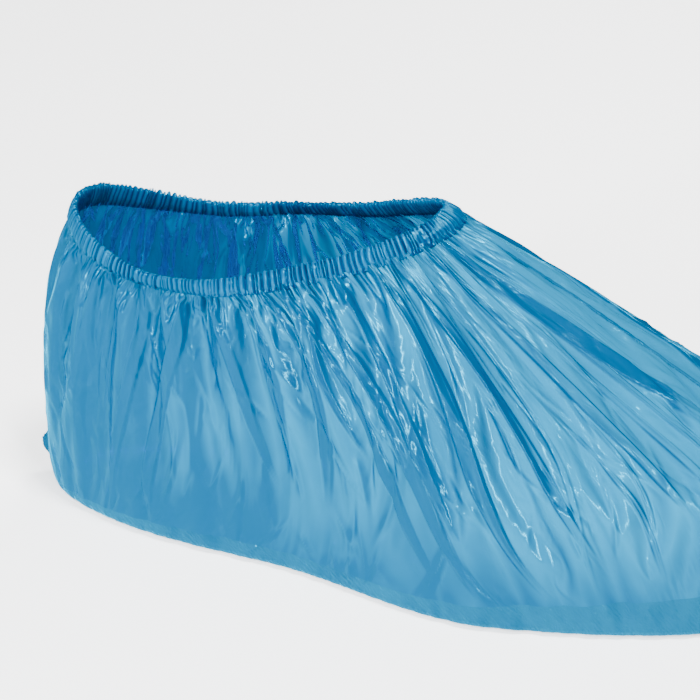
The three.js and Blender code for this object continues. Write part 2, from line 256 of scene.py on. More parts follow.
# How much deeper the deep attribute makes the colour: the doubled film, and the walls' painted shade and
# light.
DOUBLED_AND_SHADE_DEPTH = 0.65
HEEL_SHADE = 0.75
LOW_SHADE = 0.6
TOE_LIGHT = 0.3
DEEP_TONE = 0.05
LIGHT_TONE = 0.62
CLOUD = {"Scale": 40, "Detail": 3}
WRINKLE = {"Scale": 130, "Detail": 4, "Distortion": 0.4}
WRINKLE_BUMP = {"Strength": 0.5, "Distance": 0.0006}
RIPPLE = {"Scale": 120, "Detail": 2, "Distortion": 0.8}
RIPPLE_BUMP = {"Strength": 0.5, "Distance": 0.0026}
GRAIN = {"Scale": 300, "Distortion": 3, "Detail Scale": 2}
GRAIN_DEPTH = 0.0004
THROUGH_SHARE = 0.4
GLOSS_COLOUR = (0.03, 0.62, 0.95, 1)
GLOSS_IOR = 1.42

# The stage, in metres and watts, and the camera.
FLOOR_COLOUR = (0.8, 0.805, 0.81, 1)
FLOOR_GLOW = 1.0
FLOOR_REACH = 4.0
FLOOR_STEPS = 8
FLOOR_DROP = 0.5 * MM
WORLD_COLOUR = (0.96, 0.98, 1, 1)
WORLD_STRENGTH = 0.2
LIGHT_COLUMNS = ("name", "place", "size", "power")
LIGHTS = (
    ("key", (-0.7, -1.3, 0.5), (0.14, 0.9), 70),
    ("side", (0.95, -1.15, 0.45), (0.1, 0.75), 40),
    ("front", (-0.1, -1.0, 1.1), (0.12, 0.12), 20),
    ("back", (0.1, 1.0, 1.0), (0.6, 0.2), 26),
    ("top", (0.35, -0.3, 1.4), (0.3, 0.3), 52),
)
TARGET = Vector((-0.0265, 0.0, 0.0741))
CAMERA_AZIMUTH = math.radians(20.54)
CAMERA_ELEVATION = math.radians(28.06)
CAMERA_DISTANCE = 1.115
CAMERA_LENS = 156.5
CAMERA_SENSOR = 36
CAMERA_NEAR = 0.01


def lerp(a, b, share):
    return a + (b - a) * share


def smooth(x, low, high):
    t = np.clip((x - low) / (high - low), 0.0, 1.0)
    return t * t * (3 - 2 * t)


def climb_at(column, share):
    """A column of the climb table at any share of the way up, on a smooth curve."""
    rows = len(CLIMB)
    place = np.clip(share, 0, 1) * (rows - 1)
    row = np.minimum(place.astype(int), rows - 2)
    past = place - row
    values = CLIMB[:, CLIMB_COLUMNS.index(column)]
    before = values[np.maximum(row - 1, 0)]
    start = values[row]
    end = values[row + 1]
    after = values[np.minimum(row + 2, rows - 1)]
    bend = 2 * before - 5 * start + 4 * end - after
    twist = 3 * (start - end) + after - before
    return start + 0.5 * past * (end - before + past * (bend + past * twist))


def along_foot(angle):
    return (1 - np.cos(np.radians(angle))) / 2


def across_foot(angle, width, roundness):
    turn = np.sin(np.radians(angle))
    return -np.sign(turn) * np.abs(turn) ** roundness * width / 2


def sole_edge(angle):
    along = along_foot(angle)
    back = lerp(HEEL_WIDTH, WAIST_WIDTH, smooth(along, 0.12, 0.35))
    width = lerp(back, BALL_WIDTH, smooth(along, 0.35, 0.66))
    return LENGTH * along, across_foot(angle, width, SOLE_ROUNDNESS)


def rim_edge(angle):
    along = along_foot(angle)
    width = lerp(RIM_WIDTH, RIM_FRONT_WIDTH, smooth(along, 0.42, 0.74))
    behind = np.clip(1 - along / RIM_LOWEST, 0, 1) ** 1.7
    ahead = np.clip((along - RIM_LOWEST) / (1 - RIM_LOWEST), 0, 1) ** 1.6
    heel_rise = (RIM_HEEL_HEIGHT - RIM_SIDE_HEIGHT) * behind
    throat_rise = (RIM_FRONT_HEIGHT - RIM_SIDE_HEIGHT) * ahead
    y = across_foot(angle, width, RIM_ROUNDNESS)
    return RIM_FROM_HEEL + RIM_LENGTH * along, y, RIM_SIDE_HEIGHT + heel_rise + throat_rise


def plain_film(angle, share):
    """The unfolded film at an angle and at a share of the way from the sole's edge to the rim."""
    angle, share = np.broadcast_arrays(np.asarray(angle, float), np.asarray(share, float))
    sole_x, sole_y = sole_edge(angle)
    rim_x, rim_y, rim_z = rim_edge(angle)
    turn = np.abs((angle + 180) % 360 - 180)
    heel = 1 - smooth(turn, 20, 75)
    toe = smooth(turn, 70, 150)
    side = 1 - heel - toe
    parts = (("heel", heel), ("side", side), ("toe", toe))
    inward = sum(weight * climb_at(name + "_in", share) for name, weight in parts)
    upward = sum(weight * climb_at(name + "_up", share) for name, weight in parts)
    x = lerp(sole_x, rim_x, inward)
    y = lerp(sole_y, rim_y, inward) + FOREFOOT_BEND * smooth(x / LENGTH, 0.35, 1)
    return np.stack([x - LENGTH / 2, y, rim_z * upward], axis=-1)


def out_of_film(angle, share):
    """The direction that points out of the cover from the unfolded film."""
    onward = plain_film(angle + 0.5, share) - plain_film(angle - 0.5, share)
    low = np.clip(share - 0.01, 0, 0.98)
    upward = plain_film(angle, low + 0.02) - plain_film(angle, low)
    out = np.cross(onward, upward)
    return out / np.linalg.norm(out, axis=-1, keepdims=True)


def solve(low, high, target, value):
    """Halves an interval for each entry until its rising value meets its target."""
    for _ in range(30):
        middle = (low + high) / 2
        under = value(middle) < target
        low = np.where(under, middle, low)
        high = np.where(under, high, middle)
    return (low + high) / 2


def tray_top(angle):
    """The height at which the sole film's turned-up edge ends and the walls begin."""
    along = along_foot(angle)
    back = lerp(TRAY_HEEL_HEIGHT, TRAY_SIDE_HEIGHT, smooth(along, 0, 0.3))
    return lerp(back, TRAY_TOE_HEIGHT, smooth(along, 0.5, 1))


def fold_end(folds, middle, name):
    """Where a line of film that is half-way down at a given angle lies at its hem or low end."""
    knots = np.concatenate([[0], folds[:, FOLD_COLUMNS.index("middle")], [180]])
    ends = np.concatenate([[0], folds[:, FOLD_COLUMNS.index(name)], [180]])
    return np.interp(middle, knots, ends)


def film_line(folds, middle, share):
    """The angle at a share of the line of film that passes half-way down at a given angle."""
    hem = fold_end(folds, middle, "hem")
    low = fold_end(folds, middle, "low")
    reach = (share - MIDDLE_SHARE) / ABOVE_MIDDLE
    return lerp(middle, np.where(share > MIDDLE_SHARE, hem, low), reach * reach)


def smooth_noise(x, y, seed):
    """Even noise from 0 to 1 whose hills are about one unit across."""
    lattice = np.random.default_rng(seed).random((NOISE_SIZE, NOISE_SIZE))
    column = np.floor(x).astype(int)
    row = np.floor(y).astype(int)
    u = smooth(x - column, 0, 1)
    v = smooth(y - row, 0, 1)
    left, right = column % NOISE_SIZE, (column + 1) % NOISE_SIZE
    near, far = row % NOISE_SIZE, (row + 1) % NOISE_SIZE
    low = lerp(lattice[left, near], lattice[right, near], u)
    high = lerp(lattice[left, far], lattice[right, far], u)
    return lerp(low, high, v)


def crest(off):
    """A ridge with a sharp top and hollow flanks, 1 at its crest and 0 from one unit away."""
    off = np.sqrt(off * off + CREST_ROUND) - CREST_SUNK
    return np.clip(1 - off, 0, 1) ** 1.6


def main_folds(folds, middle, share):
    """How far the main folds stand out, in metres."""
    stand = np.zeros(np.broadcast(middle, share).shape)
    for _, centre, _, ends, height, wide in folds:
        off = np.abs(middle - centre) / (0.62 * wide)
        grown = smooth(share, ends - 0.05, ends + 0.35) * (1 - 0.45 * smooth(share, 0.75, 1))
        stand = stand + height * MM * grown * crest(off)
    return stand * smooth(middle, 2, 8) * (1 - smooth(middle, 172, 178))


def gathers(around, down, rng):
    """The smaller gathers below the hem, on lines down from it. Both coordinates are metres."""
    stand = np.zeros_like(down)
    across = around[0]
    for pitch, length, width, height in GATHERS * MM:
        starts = np.arange(0.5 * pitch, across[-1], pitch)
        for start in starts + rng.uniform(-0.35, 0.35, len(starts)) * pitch:
            reach = length * rng.uniform(0.5, 1.4)
            half = width * rng.uniform(0.7, 1.3)
            drift = half * rng.uniform(-1.5, 1.5)
            tall = height * rng.uniform(0.4, 1.3)
            first, last = np.searchsorted(across, [start - 3 * half, start + 3 * half])
            here = (slice(None), slice(first, last))
            run = np.clip(down[here] / reach, 0, 1)
            off = np.abs(around[here] - start - drift * run) / (half * (1 + 0.7 * run))
            stand[here] += tall * (1 - run) ** 0.8 * crest(off)
    return stand


def creases(around, down, rng, count, widths, steepness):
    """Short straight creases, most of them near the run of the folds."""
    stand = np.zeros_like(down)
    across = around[0]
    for _ in range(count):
        start = rng.uniform(0.01, across[-1] - 0.01)
        deep = rng.uniform(0.01, 0.13)
        lean = math.radians(np.clip(rng.normal(0, CREASE_LEAN), -MOST_LEAN, MOST_LEAN))
        half_length = rng.uniform(6, 24) * MM
        half = rng.uniform(*widths) * MM
        tall = half * steepness * rng.uniform(0.3, 1.0) * rng.choice([-1, 1, 1])
        reach = half_length + half
        first, last = np.searchsorted(across, [start - reach, start + reach])
        here = (slice(None), slice(first, last))
        beside = around[here] - start
        below = down[here] - deep
        run = np.abs(beside * math.sin(lean) + below * math.cos(lean)) / half_length
        off = np.abs(beside * math.cos(lean) - below * math.sin(lean)) / half
        stand[here] += tall * (1 - smooth(run, 0.3, 1)) * crest(off)
    return stand


def crumple(around, down, seed):
    """A net of soft wandering ridges, drawn out along the folds."""
    warp = 6 * MM * (smooth_noise(around / 0.02, down / 0.05, seed) - 0.5)
    stand = np.zeros_like(down)
    for number, (wide, long, tall) in enumerate(CRUMPLES):
        x = (around + warp) / (wide * MM)
        y = down / (long * MM) + 9.3 * number
        hills = smooth_noise(x, y, seed + number)
        stand += tall * MM * (1 - np.abs(2 * hills - 1)) ** 1.3
    return stand


def seed_folds(side, middle, share, around, down):
    """Where the folds begin to form: how far the film first stands out, in metres."""
    rng = np.random.default_rng(SEED + side)
    folds = OUTER_FOLDS if side > 0 else INNER_FOLDS
    stand = main_folds(folds, middle, share)
    stand = stand + gathers(around, down, rng)
    stand = stand + creases(around, down, rng, **SOFT_CREASES)
    stand = stand + 0.5 * crumple(around, down, SEED + 10 * side + 50)
    return stand


def flat_profile(off, wide, stand):
    """The profile of a fold pressed flat: two crisp edges with the doubled film between."""
    half = wide / 2
    inside = 1 - smooth(np.abs(off), half - 0.3 * MM, half + 1.0 * MM)
    hollow = 0.65 + 0.35 * np.clip(off / half, -1, 1) ** 2
    return stand * inside * hollow


def thin_fold(rng):
    """A short narrow flat fold anywhere on a side, near the run of the main folds."""
    middle = rng.uniform(8, 172)
    top_share = rng.choice([0.97, 0.97, 0.85, 0.7])
    low_share = top_share * rng.uniform(0.15, 0.8)
    to_hem = fold_end(OUTER_FOLDS, middle, "hem") - middle
    return {
        "top": middle + rng.uniform(-3, 3) + to_hem * max(0, top_share - MIDDLE_SHARE) ** 2 / 0.2,
        "top_share": top_share,
        "mid": middle + rng.uniform(-1, 1),
        "mid_share": (top_share + low_share) / 2,
        "low": middle + rng.uniform(-3, 3),
        "low_share": low_share,
        "wide": rng.uniform(1.0, 3.0),
        "stand": rng.uniform(0.3, 0.9),
        "deep": rng.uniform(0.1, 0.6),
    }


def flat_folds(side, rng):
    """The flat folds of one side: those of the table, turned a little on the far side, and thin ones."""
    folds = [dict(zip(FLAT_COLUMNS, fold)) for fold in FLAT_FOLDS]
    if side < 0:
        for fold in folds:
            turn = rng.uniform(-FAR_SIDE_TURN, FAR_SIDE_TURN)
            fold.update({key: fold[key] + turn for key in ("top", "mid", "low")})
    return folds + [thin_fold(rng) for _ in range(THIN_FOLDS)]


def pressed_folds(side, form):
    """The flat folds of one side: how far they stand out and how deep their film looks."""
    rng = np.random.default_rng(SEED + 11 * side + 40)
    angle = side * form["angle"]
    share = form["share"]
    step = np.linalg.norm(np.gradient(form["plain"], axis=1), axis=-1)
    scale = step / np.maximum(np.gradient(angle, axis=1), LEAST)
    stand = np.zeros_like(angle)
    deep = np.zeros_like(angle)
    for fold in flat_folds(side, rng):
        top = fold["top_share"]
        shares = [fold["low_share"], fold["mid_share"], top]
        bend = np.polyfit(shares, [fold["low"], fold["mid"], fold["top"]], 2)
        reach = (share - fold["low_share"]) / (top - fold["low_share"])
        grown = smooth(reach, 0, 0.3)
        if top <= 0.9:
            grown = grown * (1 - smooth(share, top - 0.02, top + 0.05))
        off = (angle - np.polyval(bend, share)) * scale
        narrow_top = 0.35 + 0.65 * smooth(1 - reach, 0, 0.45)
        narrow_end = 0.4 + 0.6 * smooth(reach, 0, 0.4)
        wide = fold["wide"] * MM * narrow_top * narrow_end
        here = flat_profile(off, wide, fold["stand"] * MM) * grown
        stand = np.where(np.abs(here) > np.abs(stand), here, stand)
        inside = 1 - smooth(np.abs(off), wide / 2 - 0.2 * MM, wide / 2 + 0.8 * MM)
        deep = np.maximum(deep, fold["deep"] * inside * grown)
    return stand, deep


def fine_gathers(side, form):
    """The fine sharp gathers that run down from the hem."""
    rng = np.random.default_rng(SEED + 13 * side + 60)
    across = form["around"][0]
    stand = np.zeros_like(form["down"])
    for pitch, length, width, height in GATHERS * MM:
        starts = np.arange(0.5 * pitch, across[-1], pitch)
        for start in starts + rng.uniform(-0.4, 0.4, len(starts)) * pitch:
            reach = length * rng.uniform(0.4, 1.4)
            half = width * rng.uniform(0.6, 1.3)
            tall = height * rng.uniform(0.3, 1.2) * rng.choice([1, 1, -0.6])
            drift = rng.uniform(-0.12, 0.12)
            first, last = np.searchsorted(across, [start - 3 * half - 6 * MM, start + 3 * half + 6 * MM])
            here = (slice(None), slice(first, last))
            down = form["down"][here]
            run = np.clip(down / reach, 0, 1)
            off = (form["around"][here] - start - drift * down) / (half * (0.5 + 0.9 * run))
            stand[here] += tall * (1 - run) ** 1.2 * crest(np.abs(off))
    return stand


def hem_pleats(columns, rng):
    """An uneven row of pleats along the film's top edge, from -1 to 1."""
    widths = rng.uniform(*TOP_PLEAT_COLUMNS, columns // 3)
    ends = np.concatenate([[0], np.cumsum(widths)])
    column = np.arange(columns)
    pleat = np.searchsorted(ends, column, side="right") - 1
    phase = (column - ends[pleat]) / widths[pleat]
    return 1 - 2 * np.abs(2 * phase - 1)


def pull(points, first, second, rest, stiffness):
    """Moves each pair of points towards its length in the flat film."""
    gap = points[second] - points[first]
    length = np.sqrt((gap * gap).sum(axis=-1)) + TINY
    shift = gap * (0.5 * stiffness * (1 - rest / length))[..., None]
    points[first] += shift
    points[second] -= shift


def link_sets(rows, columns, down, across):
    """Pairs of slices that tie points some rows and columns apart. No set holds a point twice."""
    stride = 2 * max(down, abs(across))
    left = slice(max(0, -across), columns - max(0, across))
    right = slice(max(0, across), columns - max(0, -across))
    sets = []
    for start in range(stride):
        if down:
            first = (slice(start, rows - down, stride), left)
            second = (slice(start + down, rows, stride), right)
        else:
            first = (slice(None), slice(start, columns - across, stride))
            second = (slice(None), slice(start + across, columns, stride))
        sets.append((first, second))
    return sets


def film_excess(share, down, middle):
    """How many times wider the film is than the form it lies on."""
    at_hem = HEM_EXCESS * np.exp(-down / HEM_EXCESS_REACH)
    body = BODY_EXCESS * smooth(share, 0.15, 0.8)
    toe = 1 - 0.5 * smooth(middle, 140, 175)
    return FILM_EXCESS + at_hem + body * toe


def settle(points, plain, out, excess, steps, bend):
    """Lets the film find its folds: it keeps its flat lengths while it gathers at the hem."""
    rows, columns = points.shape[:2]
    ahead = np.linalg.norm(np.diff(plain, axis=1), axis=-1)
    drop = UPRIGHT_EXCESS * np.linalg.norm(np.diff(plain, axis=0), axis=-1)
    begin = np.minimum(np.linalg.norm(np.diff(points, axis=1), axis=-1), MOST_STRETCH * ahead)
    width = ahead * 0.5 * (excess[:, 1:] + excess[:, :-1])
    lean = (np.diff(plain, axis=1)[:-1] * np.diff(plain, axis=0)[:, :-1]).sum(-1)
    lean = lean / (ahead[:-1] * drop[:, :-1])
    fixed = np.zeros((rows, columns), bool)
    fixed[0] = fixed[-1] = True
    fixed[:, 0] = fixed[:, -1] = True
    held = points[fixed]
    speed = np.zeros_like(points)
    for step in range(steps):
        grown = min(1.0, (step + 1) / (GROWING_TIME * steps))
        wide = lerp(begin, width, grown)
        across = 0.5 * (wide[:-1] + wide[1:])
        high = 0.5 * (drop[:, :-1] + drop[:, 1:])
        slant = 2 * across * high * lean
        rising = np.sqrt(across ** 2 + high ** 2 + slant)
        falling = np.sqrt(across ** 2 + high ** 2 - slant)
        double_wide = wide[:, :-1] + wide[:, 1:]
        double_drop = drop[:-1] + drop[1:]
        before = points.copy()
        points += speed
        for _ in range(SETTLE_ROUNDS):
            for first, second in link_sets(rows, columns, 0, 2):
                pull(points, first, second, double_wide[first], bend)
            for first, second in link_sets(rows, columns, 2, 0):
                pull(points, first, second, double_drop[first], UPRIGHT_BEND)
            for first, second in link_sets(rows, columns, 1, 1):
                pull(points, first, second, rising[first], SLANT_PULL)
            for first, second in link_sets(rows, columns, 1, -1):
                pull(points, first, second, falling[first[0]], SLANT_PULL)
            for first, second in link_sets(rows, columns, 1, 0):
                pull(points, first, second, drop[first], NEXT_PULL)
            for first, second in link_sets(rows, columns, 0, 1):
                pull(points, first, second, wide[first], NEXT_PULL)
            stand = ((points - plain) * out).sum(-1)
            over = stand - np.clip(stand, -MOST_IN, MOST_OUT)
            points -= over[..., None] * out
            points[fixed] = held
        speed = KEPT_SPEED * (points - before)
    return points


def read_grid(grid, places, axis):
    """A grid read along one axis at places between its points, on smooth curves. The places
    are a list for the whole grid, or for the first axis one list for each column."""
    most = grid.shape[axis] - 1
    start = np.clip(places.astype(int), 0, most - 1)
    past = places - start

    def at(step):
        index = np.clip(start + step, 0, most)
        if index.ndim > 1:
            return grid[index, np.arange(grid.shape[1])]
        return np.take(grid, index, axis=axis)

    if past.ndim == 1:
        past = past.reshape([-1 if i == axis else 1 for i in range(grid.ndim)])
    else:
        past = past[..., None]
    a, b, c, d = (at(step) for step in (-1, 0, 1, 2))
    return b + 0.5 * past * (c - a + past * (2 * a - 5 * b + 4 * c - d + past * (3 * (b - c) + d - a)))


def resample(grid, rows, columns):
    grid = read_grid(grid, np.linspace(0, grid.shape[1] - 1, columns + 1), 1)
    return read_grid(grid, np.linspace(0, grid.shape[0] - 1, rows + 1), 0)


def film_top(side, folds, middle):
    """The share at which the film meets the hem on each of its lines."""

    def under_rim(share):
        angle = side * film_line(folds, middle, share)
        return -np.linalg.norm(plain_film(angle, share) - plain_film(angle, 1.0), axis=-1)

    return solve(np.full_like(middle, 0.6), np.ones_like(middle), -0.8 * HEM_HEIGHT, under_rim)


def tray_share(side, folds, middle):
    """The share at which the sole film's turned-up edge meets the walls on each line."""

    def over_tray(share):
        angle = film_line(folds, middle, share)
        return plain_film(side * angle, share)[..., 2] - tray_top(angle)

    return solve(np.zeros_like(middle), np.full_like(middle, 0.6), 0.0, over_tray)


def film_form(side, columns, row_shares):
    """The unfolded film of one side as a grid, from the heel seam on and from the sole up."""
    folds = OUTER_FOLDS if side > 0 else INNER_FOLDS
    even = np.linspace(0, 1, columns + 1)
    middle = 180 * (even + 0.024 * np.sin(2 * np.pi * even))[None, :]
    top = film_top(side, folds, middle)
    if row_shares is None:
        tray = tray_share(side, folds, middle) * np.linspace(0, 1, TRAY_ROWS + 1)[:-1, None]
        wall = lerp(tray_share(side, folds, middle), top, np.linspace(0, 1, WALL_ROWS + 1)[:, None])
        share = np.concatenate([tray, wall])
    else:
        share = top * row_shares[:, None]
    angle = side * film_line(folds, middle, share)
    plain = plain_film(angle, share)
    steps = np.linalg.norm(np.diff(plain[len(share) // 2], axis=0), axis=-1)
    drops = np.linalg.norm(np.diff(plain, axis=0), axis=-1)
    return {
        "middle": middle,
        "share": share,
        "top": top,
        "angle": angle,
        "plain": plain,
        "out": out_of_film(angle, share),
        "around": np.broadcast_to(np.concatenate([[0], np.cumsum(steps)]), share.shape),
        "down": np.concatenate([np.cumsum(drops[::-1], axis=0)[::-1], np.zeros_like(middle)]),
    }


def round_corner(points, out):
    """Draws the film's lowest stretch in under the sole, round the sole's corner."""
    under = np.clip(1 - points[..., 2] / SOLE_CORNER, 0, 1)
    inset = SOLE_CORNER * (1 - np.sqrt(1 - under * under))
    flat = out * np.array([1.0, 1.0, 0.0])
    return points - flat * inset[..., None]


def off_seams(middle):
    """0 at the two seams and 1 on the film between them."""
    return smooth(middle, 0, 3) * (1 - smooth(middle, 177, 180))


def settled_shift(side):
    """How far one side's film moves from its plain form as it settles, on the finest grid."""
    moved = None
    for level in SETTLE_LEVELS:
        form = film_form(side, level["columns"], np.linspace(0, 1, level["rows"] + 1))
        share, down, middle = form["share"], form["down"], form["middle"]
        edges = off_seams(middle)
        if moved is None:
            seed = seed_folds(side, middle, share, form["around"], down)
            seed = 0.6 * seed * edges * smooth(share, 0.0, 0.12) * smooth(down, 0, 8 * MM)
            moved = seed[..., None] * form["out"]
        else:
            moved = resample(moved, level["rows"], level["columns"])
        start = form["plain"] + moved
        if level is SETTLE_LEVELS[-1]:
            rng = np.random.default_rng(SEED + 5 * side + 7)
            pleats = 0.8 * MM * hem_pleats(level["columns"] + 1, rng) * edges
            pleats = pleats * (1 - smooth(down, 0, 6 * MM)) ** 2
            start = start + pleats[..., None] * form["out"]
        excess = film_excess(share, down, middle)
        settled = settle(start, form["plain"], form["out"], excess, level["steps"], level["bend"])
        moved = settled - form["plain"]
    return moved


def film_side(side):
    """One side's settled film at the drawn grid's points, with its flat folds and creases."""
    moved = settled_shift(side)
    form = film_form(side, FILM_COLUMNS, None)
    moved = read_grid(moved, np.linspace(0, moved.shape[1] - 1, FILM_COLUMNS + 1), 1)
    moved = read_grid(moved, form["share"] / form["top"] * (len(moved) - 1), 0)
    pressed, form["deep"] = pressed_folds(side, form)
    rng = np.random.default_rng(SEED + 17 * side + 80)
    sharp = creases(form["around"], form["down"], rng, **SHARP_CREASES)
    above_sole = smooth(form["plain"][..., 2], 2 * MM, 12 * MM)
    added = (pressed + fine_gathers(side, form) + sharp) * off_seams(form["middle"]) * above_sole
    moved = moved + added[..., None] * form["out"]
    form["place"] = round_corner(form["plain"] + moved, form["out"])
    form["stand"] = (moved * form["out"]).sum(-1)
    # Painted shade at the heel and low down on the walls, and painted light at the toe, added to the deep
    # colour.
    heel = 1 - smooth(form["middle"], 15, 100)
    toe = smooth(form["middle"], 95, 150)
    low = 1 - smooth(form["share"], 0.05, 0.4)
    form["shade"] = HEEL_SHADE * heel + LOW_SHADE * low - TOE_LIGHT * toe
    return form


def new_piece(name, points, faces, material, attributes=None):
    mesh = bpy.data.meshes.new(name)
    mesh.from_pydata(points.tolist(), [], faces.tolist())
    for key, values in (attributes or {}).items():
        kind = "FLOAT_VECTOR" if values.ndim == 2 else "FLOAT"
        layer = mesh.attributes.new(key, kind, "POINT")
        layer.data.foreach_set("vector" if values.ndim == 2 else "value", values.astype(np.float32).ravel())
    mesh.polygons.foreach_set("use_smooth", np.ones(len(mesh.polygons), bool))
    mesh.materials.append(material)
    piece = bpy.data.objects.new(name, mesh)
    bpy.context.scene.collection.objects.link(piece)
    return piece


def grid_faces(rows, columns, ring=False, flip=False):
    """Faces of a grid of points that are numbered along its columns first."""
    spans = columns if ring else columns - 1
    row, column = np.meshgrid(np.arange(rows - 1), np.arange(spans), indexing="ij")
    after = (column + 1) % columns
    faces = np.stack([
        row * columns + column,
        row * columns + after,
        (row + 1) * columns + after,
        (row + 1) * columns + column,
    ], axis=-1).reshape(-1, 4)
    return faces[:, ::-1] if flip else faces


def film_attributes(film, rows):
    """Where each point lies in the flat film, how steeply the film folds there, which the material turns
    into painted shade, and how much deeper its colour is made by doubled film and by the painted shade at
    the heel and low down and the painted light at the toe.
    """
    fibre = np.stack([film["around"][rows], film["down"][rows], film["share"][rows]], axis=-1)
    slope = np.gradient(film["stand"], axis=1) / np.maximum(np.gradient(film["around"], axis=1), LEAST)
    return {
        "fibre": fibre.reshape(-1, 3),
        "slope": np.abs(slope[rows]).ravel(),
        "deep": (film["deep"] + film["shade"])[rows].ravel(),
    }


def film_wall(name, film, side, material):
    rows = slice(TRAY_ROWS, None)
    place = film["place"][rows]
    faces = grid_faces(*place.shape[:2], flip=side < 0)
    return new_piece(name, place.reshape(-1, 3), faces, material, film_attributes(film, rows))


def around_cover(outer_film, inner_film):
    """Joins rows of the two sides into rings that run from the heel round to the heel."""
    return np.concatenate([outer_film[:, :-1], inner_film[:, ::-1][:, :-1]], axis=1)


def sole_film(outer_film, inner_film, material):
    """The sole: rings that close inwards under the foot, and the edge turned up round it."""
    tray = slice(0, TRAY_ROWS + 1)
    edge = around_cover(outer_film["place"][tray], inner_film["place"][tray])
    rim = edge[0] * np.array([1.0, 1.0, 0.0])
    centre_x = np.clip(rim[:, 0], -0.3 * LENGTH, 0.3 * LENGTH)
    centre_y = FOREFOOT_BEND * smooth(centre_x / LENGTH + 0.5, 0.35, 1)
    centre = np.stack([centre_x, centre_y, np.zeros_like(centre_x)], axis=-1)
    ring = (np.arange(SOLE_RINGS) / SOLE_RINGS)[:, None, None]
    floor = lerp(centre, rim, ring)
    wrinkle = crumple(floor[..., 0] + 0.3, floor[..., 1] + 0.2, SEED + 90)
    floor[..., 2] = 0.4 * wrinkle * (1 - smooth(ring[..., 0], 0.85, 1))
    points = np.concatenate([floor, edge])
    # The turned-up edge takes the walls' slope, which the material turns into painted shade on its steep
    # folds.
    outer_slope = film_attributes(outer_film, tray)["slope"].reshape(TRAY_ROWS + 1, -1)
    inner_slope = film_attributes(inner_film, tray)["slope"].reshape(TRAY_ROWS + 1, -1)
    slope = np.concatenate([np.zeros(floor.shape[:2]), around_cover(outer_slope, inner_slope)])
    faces = grid_faces(*points.shape[:2], ring=True)
    attributes = {"fibre": points.reshape(-1, 3), "slope": slope.ravel()}
    return new_piece("sole_film", points.reshape(-1, 3), faces, material, attributes)


def hem_frame(angle):
    """The hem's top line, and which way is up and which way is out along it."""

    def below_top(share):
        return np.linalg.norm(plain_film(angle, -share) - plain_film(angle, 1.0), axis=-1)

    share = -solve(np.full_like(angle, -1.0), np.full_like(angle, -0.6), HEM_HEIGHT, below_top)
    top = plain_film(angle, 1.0)
    onward = np.roll(top, -1, axis=0) - np.roll(top, 1, axis=0)
    onward = onward / np.linalg.norm(onward, axis=-1, keepdims=True)
    up = top - plain_film(angle, share)
    up = up - (up * onward).sum(-1, keepdims=True) * onward
    return top, up / HEM_HEIGHT, out_of_film(angle, (share + 1) / 2)


def hem_waves(even, height):
    """Uneven pleats round the hem: how far up its pleat a point is, from -1 to 1, and how tall
    that pleat is."""
    rng = np.random.default_rng(SEED + 300)
    widths = rng.uniform(*HEM_PLEAT_WIDTHS, HEM_PLEATS)
    ends = np.concatenate([[0], np.cumsum(widths)]) / widths.sum()
    tall = rng.uniform(*HEM_PLEAT_SIZES, HEM_PLEATS)
    wander = HEM_WANDER * (smooth_noise(even * 60 + 2, height / (5 * MM) + 2, SEED + 7) - 0.5)
    lean = HEM_LEAN * (smooth_noise(even * 24, 0 * height, SEED + 8) - 0.5) * height / HEM_HEIGHT
    place = np.mod(even + wander + lean, 1.0)
    pleat = np.clip(np.searchsorted(ends, place, side="right") - 1, 0, HEM_PLEATS - 1)
    phase = (place - ends[pleat]) / (ends[pleat + 1] - ends[pleat])
    return np.abs(np.sin(np.pi * phase)) ** 0.75 * 2 - 1, tall[pleat]


def hem_band(material):
    """The gathered band: a flat tube of film, drawn into uneven pleats round the opening."""
    even = np.linspace(0, 1, HEM_COLUMNS, endpoint=False)
    angle = 360 * even
    angle = angle + 4 * np.sin(np.radians(2 * angle))
    top, up, out = hem_frame(angle)
    turn = (2 * np.pi * np.arange(HEM_ROUND) / HEM_ROUND)[:, None]
    height = HEM_HEIGHT * (0.5 - 0.54 * np.cos(turn))
    bulge = HEM_HALF_DEPTH * np.sign(np.sin(turn)) * np.abs(np.sin(turn)) ** 0.6
    wave, tall = hem_waves(even[None, :], height)
    pinch = 0.45 + 0.55 * smooth(height, 0, 2.4 * MM)
    stand = HEM_PLEAT_STAND * tall * wave * pinch
    flat_lift = np.zeros_like(stand)
    for at, half, left in HEM_FLATS:
        away = np.abs((angle - at + 180) % 360 - 180) / half
        stand = stand * lerp(left, 1.0, smooth(away, 0.7, 1.2))
        flat_lift = flat_lift + HEM_FLAT_LIFT * (1 - smooth(away, 0.6, 1.1))
    neck = 1 - 0.5 * np.exp(-((height - 1.0 * MM) / (0.9 * MM)) ** 2)
    lift = HEM_PLEAT_LIFT * wave * smooth(height, 0.6 * HEM_HEIGHT, HEM_HEIGHT) * tall
    offset = bulge * neck + stand + flat_lift
    points = top + up * (height + lift - HEM_HEIGHT)[..., None] + out * offset[..., None]
    along = np.broadcast_to(even * RIM_AROUND, stand.shape)
    fibre = np.stack([along, np.broadcast_to(height, stand.shape), np.zeros_like(stand)], axis=-1)
    # Painted shade in the pleats' valleys and along the band's pinched lower edge, which deepens the colour
    # there.
    slope = 0.5 * (1 - wave) + 0.5 * (1 - smooth(height, 0, 2 * MM))
    faces = grid_faces(HEM_ROUND + 1, HEM_COLUMNS, ring=True) % (HEM_ROUND * HEM_COLUMNS)
    attributes = {"fibre": fibre.reshape(-1, 3), "slope": slope.ravel()}
    return new_piece("gathered_hem", points.reshape(-1, 3), faces, material, attributes)


